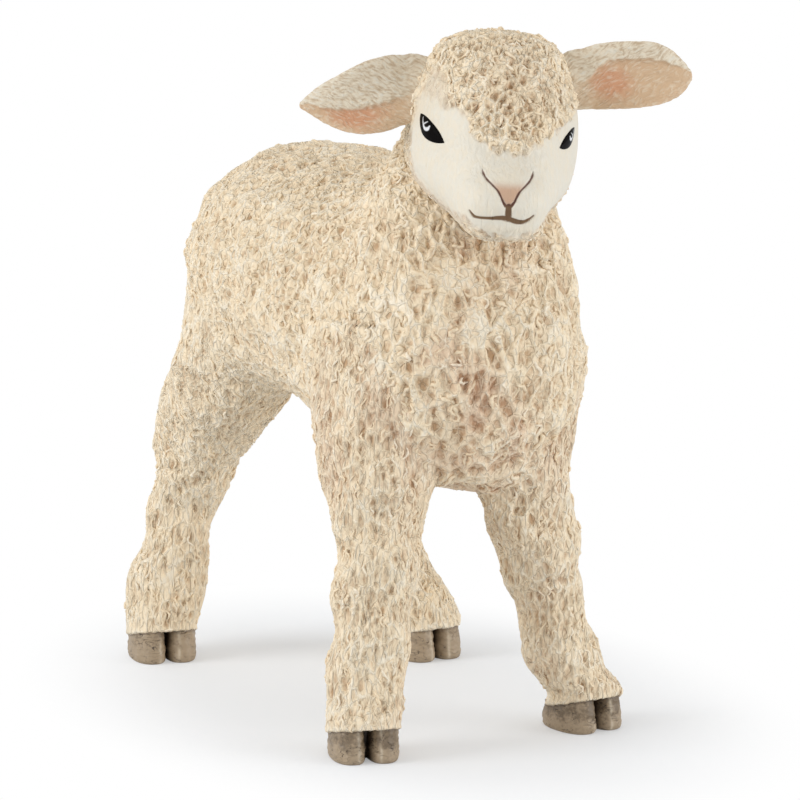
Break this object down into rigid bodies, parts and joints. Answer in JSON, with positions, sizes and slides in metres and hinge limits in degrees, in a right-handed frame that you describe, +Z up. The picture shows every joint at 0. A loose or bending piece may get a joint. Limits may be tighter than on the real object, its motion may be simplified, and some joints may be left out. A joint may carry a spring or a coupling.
{
  "type": "toy lamb figure",
  "caption": "Standing toy lamb with a curly fleece, outstretched ears, a head turned to one side and cloven hooves, made as a small rigid farm animal figure for pretend play.",
  "frame": {"origin": "on the floor, under the middle of the figure's box", "axes": "+Z up, the lamb faces -Y, +X is the lamb's left side"},
  "size_m": [0.025, 0.0454, 0.048],
  "materials": {
    "wool": "moulded plastic painted cream, with a tan wash in the hollows of the fleece",
    "face": "smooth moulded plastic, off-white, with brown painted nostril and mouth lines",
    "ear": "moulded plastic, peach inside and off-white outside",
    "eye": "gloss black with a white highlight",
    "hoof": "moulded plastic painted taupe"
  },
  "bodies": {
    "root": {"torso": "wool", "head": "face", "ear_left": "ear", "ear_right": "ear", "eye_left": "eye", "eye_right": "eye", "front_right_leg": "wool", "front_left_leg": "wool", "rear_right_leg": "wool", "rear_left_leg": "wool", "front_right_hoof": "hoof", "front_left_hoof": "hoof", "rear_right_hoof": "hoof", "rear_left_hoof": "hoof", "tail": "wool"}
  },
  "joints": []
}
